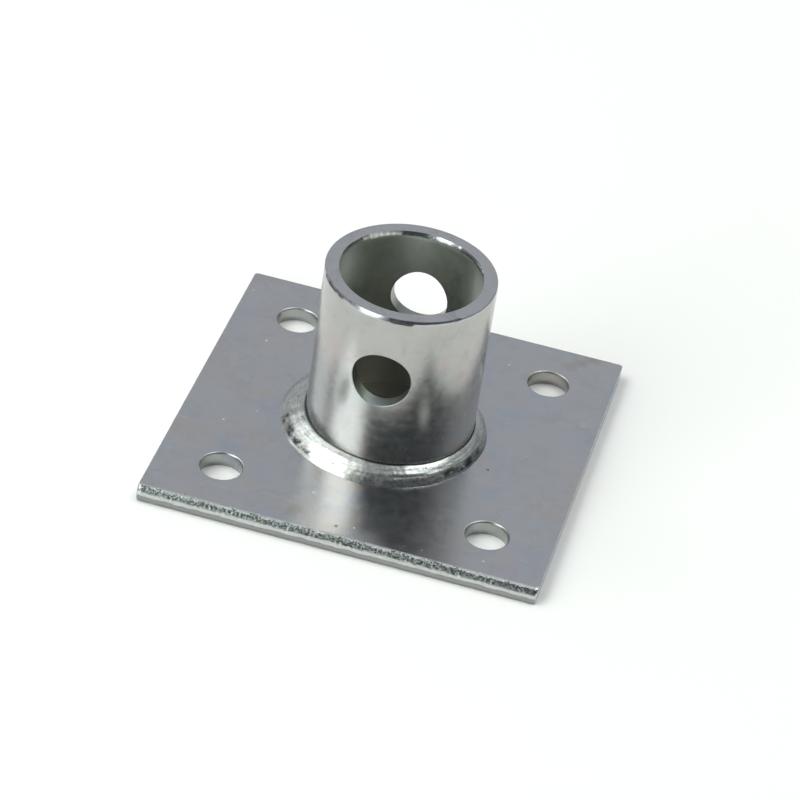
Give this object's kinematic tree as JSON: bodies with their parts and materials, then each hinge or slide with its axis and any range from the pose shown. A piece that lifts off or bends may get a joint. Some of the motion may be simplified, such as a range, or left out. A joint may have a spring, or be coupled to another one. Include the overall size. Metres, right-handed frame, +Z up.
{
  "type": "tube clamp base flange",
  "caption": "Square base plate with bolt holes at its corners and a short upright tube socket, cross-drilled for a pin and welded on all round, zinc plated.",
  "frame": {"origin": "middle of the plate's underside, on the tube's axis", "axes": "+Z up the tube, out of the socket; Y along the cross hole, square to the plate's sheared ends; X across the plate between its rolled edges"},
  "size_m": [0.1, 0.1, 0.05],
  "materials": {
    "plate_zinc": "bright zinc plated rolled steel, semi-gloss with a faint blue passivation tint",
    "tube_zinc": "bright zinc plated drawn tube, smooth and semi-gloss",
    "weld_zinc": "zinc plated over a rippled fillet weld"
  },
  "bodies": {
    "root": {"base_plate": "plate_zinc", "socket_tube": "tube_zinc", "weld_bead": "weld_zinc"}
  },
  "joints": []
}
